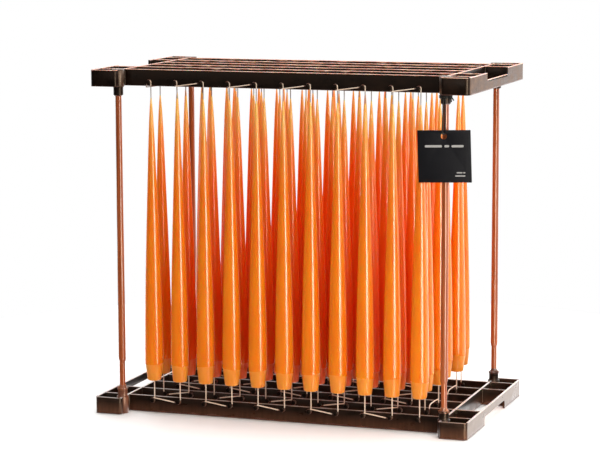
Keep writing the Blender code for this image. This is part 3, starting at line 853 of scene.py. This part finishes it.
def socket_wax():
    """Broken collars of wax where the rods go into the sockets."""
    built = Builder()
    for index, (x, y) in enumerate(((-ROD_X, -ROD_Y), (ROD_X, -ROD_Y), (-ROD_X, ROD_Y), (ROD_X, ROD_Y))):
        for high in (False, True):
            edge = HIGH_EDGE - COLLAR_HEIGHT if high else GRID_HEIGHT + COLLAR_HEIGHT
            sign = -1 if high else 1
            tall = 0.0016 if high else 0.0036
            profile = [(0.0041, tall * 1.5), (0.0046, tall), (0.0054, tall * 0.45), (0.0066, 0.0006), (0.0076, 0.0),
                       (0.0078, -0.0008), (0.0075, -0.0022), (0.0068, -0.0026)]
            if high:
                profile = [(min(r * 0.93, 0.0064), h) for r, h in profile]

            def wobble(number, angle, seed=index + (20 if high else 0)):
                point = (math.cos(angle), math.sin(angle), number * 0.2)
                grain = ripple(point, 2.4, seed) + 0.7 * ripple(point, 6.0, seed + 4)
                size = 0.965 + (0.10 * grain if 0 < number < 7 else 0.0)
                return size, 0.0016 * grain if number < 7 else -0.0006 * grain

            lathe(built, [(r, h * sign) for r, h in profile], Matrix.Translation((x, y, edge)), 26,
                  int(y < 0 and not high), wobble)
    built.make("socket_wax_skins", [DARK_WAX, LUMP_WAX], "frame", slot="waxed_rod")


make_rods()
socket_wax()

# -------- tapers and wick

WICK_RADIUS, TOP_WICK_RADIUS = 0.0009, 0.00072
PEG_SHAFT_RADIUS = 0.0018
WICK_OFFSET = PEG_SHAFT_RADIUS + WICK_RADIUS + GAP + 0.00005
WICK_Y_DROP = WALL / 2 + 0.0025
BASE_Z, TAPER_LENGTH = 0.0475, 0.3975
TIP_Z = BASE_Z + TAPER_LENGTH
SKIN_HEIGHT = 0.0249  # the glossy skin starts here, above the cut foot
CROSS_Y, TOP_CROSS_RISE, LOW_CROSS_RISE = -0.0014, -0.0043, 0.0036
TURN_SLIDE = 0.0008
# Height above the foot and radius of a dipped taper.
PROFILE = (
    (0.0246, 0.01265), (0.045, 0.01255), (0.085, 0.01205), (0.130, 0.01115), (0.170, 0.01005), (0.215, 0.00865),
    (0.265, 0.00690), (0.315, 0.00520), (0.350, 0.00385), (0.372, 0.00275), (0.387, 0.00175),
    (TAPER_LENGTH, 0.00085),
)


def wick_side(row):
    """The side of its pegs that a row's wick hangs on."""
    return 1 if row % 2 == 0 else -1


def wick_place(row, number):
    return PEG_X[number] + wick_side(row) * WICK_OFFSET, ROW_Y[row] - WICK_Y_DROP


def profile_radius(height):
    for (low, first), (high, second) in zip(PROFILE, PROFILE[1:]):
        if height <= high:
            share = (height - low) / (high - low)
            return first + (second - first) * share
    return PROFILE[-1][1]


def add_taper(built, row, number, chance):
    """One dipped taper: cut foot cone, edge of the glossy skin, body and tip."""
    x, y = wick_place(row, number)
    girth = 1.0 + chance.uniform(-0.022, 0.022)
    lean = chance.uniform(0, 2 * math.pi)
    slant = chance.uniform(0.0006, 0.0022)
    seed = row * 20 + number
    foot = 0.0098 * (1 + chance.uniform(-0.03, 0.03))
    rings = [(0.0004, 0.0010), (0.0030, 0.0004), (foot - 0.0018, 0.0001), (foot - 0.0006, 0.0005), (foot, 0.0016)]
    rings += [(foot + (0.0122 * girth - foot) * k / 4.0, 0.0016 + 0.0220 * k / 4.0) for k in range(1, 5)]
    rings.append((0.01252 * girth, 0.0242))
    kinds = [1] * (len(rings) - 1)
    for k in range(34):
        height = SKIN_HEIGHT + (TAPER_LENGTH - SKIN_HEIGHT) * (k / 33.0)
        rings.append((profile_radius(height) * girth, height))
        kinds.append(0)

    def wobble(index, angle):
        height = rings[index][1]
        size = 1.0 + 0.006 * ripple((math.cos(angle) * 0.4, math.sin(angle) * 0.4, height * 6.0), 1.0, seed)
        lift = 0.0
        if 6 <= index <= 11:
            share = (0.35, 0.7, 1.0, 1.0, 1.0, 0.5)[index - 6]
            grain = ripple((math.cos(angle), math.sin(angle), 0), 2.4, seed)
            lift = share * (slant * math.cos(angle - lean) + 0.0005 * grain)
        return size, lift

    lathe(built, rings, Matrix.Translation((x, y, BASE_Z)), 28, index=kinds, wobble=wobble)


def round_peg(row, number, height, angles, spread=0.0):
    """Points round a peg by angle in the XZ plane, drifting along the peg by spread."""
    y = ROW_Y[row] - WICK_Y_DROP
    points = []
    for k, angle in enumerate(angles):
        turn = math.radians(angle)
        slide = spread * (k / max(1, len(angles) - 1) - 0.5)
        points.append(Vector((PEG_X[number] + WICK_OFFSET * math.cos(turn), y + slide,
                              height + WICK_OFFSET * math.sin(turn))))
    return points


def sweep(start, end):
    """Angles from start to end, about 30 degrees apart."""
    count = max(1, round(abs(end - start) / 30))
    return [start + (end - start) * k / count for k in range(count + 1)]


def wick_turn(row, number, height, start, end):
    """Round a peg from one angle to another, mirrored where the row's wick hangs on the left of its pegs."""
    angles = sweep(start, end) if wick_side(row) > 0 else [180 - angle for angle in sweep(start, end)]
    return round_peg(row, number, height, angles, TURN_SLIDE)


def crossing(row, number, height, rise):
    """Where the wick leaves a peg across its own standing part."""
    side = wick_side(row)
    y = ROW_Y[row] - WICK_Y_DROP + CROSS_Y
    return [Vector((PEG_X[number] + side * WICK_OFFSET * 0.55, y, height + rise * 0.92)),
            Vector((PEG_X[number] + side * (WICK_OFFSET + 0.0012), y, height + rise))]


def tip_end(row, number):
    """From inside a taper's tip straight up to the top grid."""
    x, y = wick_place(row, number)
    return [Vector((x, y, TIP_Z - 0.006)), Vector((x, y, HIGH_EDGE - 0.004))]


def top_route(row, left):
    """From inside the near taper's tip, round its peg, across to the far peg and into the far taper's tip."""
    near, far = (left, left + 1) if wick_side(row) > 0 else (left + 1, left)
    start = tip_end(row, near) + wick_turn(row, near, HIGH_PEG_Z, 0, 225)
    start += crossing(row, near, HIGH_PEG_Z, TOP_CROSS_RISE)
    return start + wick_turn(row, far, HIGH_PEG_Z, 175, 0) + tip_end(row, far)[::-1]


def foot_end(row, number):
    """From the bottom grid straight up into a taper's foot."""
    x, y = wick_place(row, number)
    return [Vector((x, y, GRID_HEIGHT + 0.004)), Vector((x, y, BASE_Z + 0.002))]


def hooked_route(row, number):
    """From the standing wick beside the next peg, down under this taper's peg and up to its foot."""
    start = crossing(row, number - wick_side(row), LOW_PEG_Z, LOW_CROSS_RISE)
    return start + wick_turn(row, number, LOW_PEG_Z, 210, 360) + foot_end(row, number)


def plain_route(row, number, tail=0.0):
    """Straight down to the peg, under it and up its far side, or past it as a loose tail."""
    if tail:
        x, y = wick_place(row, number)
        out = wick_side(row) * 0.0004
        turn = [Vector((x, y, LOW_PEG_Z + 0.001)), Vector((x + out, y - 0.0004, LOW_PEG_Z - tail))]
    else:
        turn = wick_turn(row, number, LOW_PEG_Z, 0, -280)
    return list(reversed(foot_end(row, number))) + turn


def row_link_route(row):
    """Slack wick at the right end, from the next row's wick over the wall to this row's peg."""
    last = CANDLES - 1
    next_x, next_y = wick_place(row + 1, last)
    near_y = ROW_Y[row] - WICK_Y_DROP
    edge = GRID_HEIGHT
    route = [Vector(p) for p in (
        (next_x - 0.0002, next_y - 0.0006, edge + 0.0028),
        (next_x - 0.0006, next_y - 0.008, edge + 0.0034),
        (next_x - 0.0012, near_y + 0.020, edge + 0.0036),
        (next_x - 0.0010, near_y + 0.010, edge + 0.0034),
        (next_x - 0.0004, near_y + 0.0035, edge + 0.0022),
        (next_x, near_y + 0.0004, edge - 0.0012),
    )]
    return route + round_peg(row, last, LOW_PEG_Z, sweep(360, 180), -TURN_SLIDE) + foot_end(row, last)


def first_column_route(row):
    """From a first taper's tip round its peg, under the top grid to the next row's peg and its first taper."""
    low = HIGH_EDGE - 0.0014
    start_y, end_y = ROW_Y[row] - WICK_Y_DROP, ROW_Y[row + 1] - WICK_Y_DROP
    under = [Vector((PEG_X[0] - WICK_OFFSET, start_y, low + 0.0015)),
             Vector((PEG_X[0] - WICK_OFFSET + 0.0004, start_y + 0.0012, low)),
             Vector((PEG_X[0] + WICK_OFFSET - 0.0004, end_y - 0.0012, low)),
             Vector((PEG_X[0] + WICK_OFFSET, end_y, low + 0.0015))]
    return (tip_end(row, 0) + round_peg(row, 0, HIGH_PEG_Z, sweep(0, 180)) + under
            + round_peg(row + 1, 0, HIGH_PEG_Z, sweep(0, 180)) + tip_end(row + 1, 0)[::-1])


def foot_route(row, number):
    """Every second wick is hooked round the next one. The last column has the links between rows and two tails."""
    if number == CANDLES - 1:
        return row_link_route(row) if row in (1, 3) else plain_route(row, number, 0.004 if row in (0, 5) else 0.0)
    hooked = (number % 2 == 1) == (wick_side(row) > 0)
    return hooked_route(row, number) if hooked else plain_route(row, number)


def strand(built, route, row, radius=WICK_RADIUS):
    """A length of wick, dark with old wax where it lies round a peg."""
    path = even_route(smooth_route(route, 4), 0.0009)
    side = wick_side(row)
    kinds = []
    for start, end in zip(path, path[1:]):
        middle = (start + end) / 2
        peg_x = min(PEG_X, key=lambda x: abs(x - middle.x))
        peg_z = HIGH_PEG_Z if middle.z > HEIGHT / 2 else LOW_PEG_Z
        round_it = math.hypot(middle.x - peg_x, middle.z - peg_z) < 0.0056
        below = middle.z < LOW_PEG_Z + 0.0028 and middle.x * side < (peg_x * side + WICK_OFFSET + 0.0009)
        wandering = abs(middle.y - ROW_Y[row] + WICK_Y_DROP) > 0.0024
        hanging = TIP_Z - 0.002 < middle.z < HIGH_EDGE
        inner = side * (middle.x - peg_x) < WICK_OFFSET * 0.6
        dark = middle.z > HEIGHT / 2 and wandering or round_it and (inner or below)
        kinds.append(1 if dark else 2 if hanging else 0)
    built.rings(twisted(path, radius, 8), kinds)


def make_tapers():
    chance = random.Random(66)
    pairs = [(f"row{row + 1}_{left + 1}_{left + 2}", ((row, left), (row, left + 1)), top_route(row, left))
             for row in range(ROWS) for left in range(1, CANDLES - 1, 2)]
    pairs += [(f"rows{row + 1}_{row + 2}_1", ((row, 0), (row + 1, 0)), first_column_route(row))
              for row in range(0, ROWS, 2)]
    for name, places, top in pairs:
        wax, wick = Builder(), Builder()
        for row, number in places:
            add_taper(wax, row, number, chance)
            strand(wick, foot_route(row, number), row)
        strand(wick, top, places[0][0], TOP_WICK_RADIUS)
        wax.make(f"tapers_{name}", [WAX, CUT_WAX], "frame", slot="taper_wax", nodes=[f"taper_pair_{name}"])
        wick.make(f"wick_{name}", [WICK, DARK_WAX, TOP_WICK], "frame")


make_tapers()

# -------- floor, lights and world

def make_stage():
    """A round white floor, and a studio that is bright behind the object and dim in front of it."""
    bm = bmesh.new()
    bmesh.ops.create_circle(bm, cap_ends=True, segments=96, radius=0.78,
                            matrix=Matrix.Translation((-0.04, 0.10, 0.0)))
    mesh = bpy.data.meshes.new("floor")
    bm.to_mesh(mesh)
    bm.free()
    made, tree, shader = new_material("floor_white", (0.90, 0.90, 0.90), 0.8)
    mottle = noise_node(tree, 3.0, 2.0)
    paint(tree, shader, mix_node(tree, mottle, (0.89, 0.89, 0.89), (0.91, 0.91, 0.91)))
    mesh.materials.append(made)
    floor = link_object("floor", mesh)
    floor.visible_glossy = False
    world = bpy.data.worlds.new("studio")
    bpy.context.scene.world = world
    world.use_nodes = True
    tree = world.node_tree
    lit = tree.nodes["Background"]
    source = add_node(tree, "TexCoord")
    along = add_node(tree, "VectorMath", {0: source.outputs["Generated"], 1: (0.22, 0.975, 0.0)},
                     operation="DOT_PRODUCT")
    glow = ramp_node(tree, range_node(tree, along.outputs["Value"], -1.0, 1.0),
                     ((0.0, 0.03), (0.42, 0.10), (0.60, 0.50), (0.85, 1.0)))
    tree.links.new(glow, lit.inputs["Color"])
    lit.inputs["Strength"].default_value = 2.15
    plain = add_node(tree, "Background", {"Color": (1.0, 1.0, 1.0, 1.0)})
    seen = add_node(tree, "LightPath").outputs["Is Camera Ray"]
    mixed = add_node(tree, "MixShader", {"Fac": seen, 1: lit.outputs["Background"], 2: plain.outputs["Background"]})
    tree.links.new(mixed.outputs["Shader"], tree.nodes["World Output"].inputs["Surface"])


def area_light(name, place, aim, width, height, power, colour=(1.0, 1.0, 1.0), shine_only=False):
    """A rectangular light that the camera doesn't see. With shine_only it adds reflections and no other light."""
    data = bpy.data.lights.new(name, "AREA")
    data.shape, data.size, data.size_y, data.energy, data.color = "RECTANGLE", width, height, power, colour
    light = link_object(name, data)
    light.location = place
    light.visible_camera = False
    light.visible_diffuse = light.visible_transmission = not shine_only
    light.rotation_mode = "QUATERNION"
    light.rotation_quaternion = (Vector(aim) - Vector(place)).to_track_quat("-Z", "Y")


make_stage()
area_light("key_right", (0.96, -0.84, 0.66), (0.0, 0.0, 0.66), 0.50, 1.28, 10.0, (1.0, 0.95, 0.86))
area_light("strip_right", (0.68, -0.59, 0.25), (0.0, 0.0, 0.25), 0.27, 1.40, 20.0, (1.0, 0.95, 0.78),
           shine_only=True)
area_light("fill_front", (-0.5, -2.8, 1.0), (0, 0, 0.25), 1.2, 1.2, 12.0)
area_light("overhead", (0.0, 0.1, 2.4), (0, 0, 0.2), 1.8, 1.4, 45.0)

scene = bpy.context.scene
scene.view_settings.view_transform = "Standard"
scene.view_settings.look = "None"
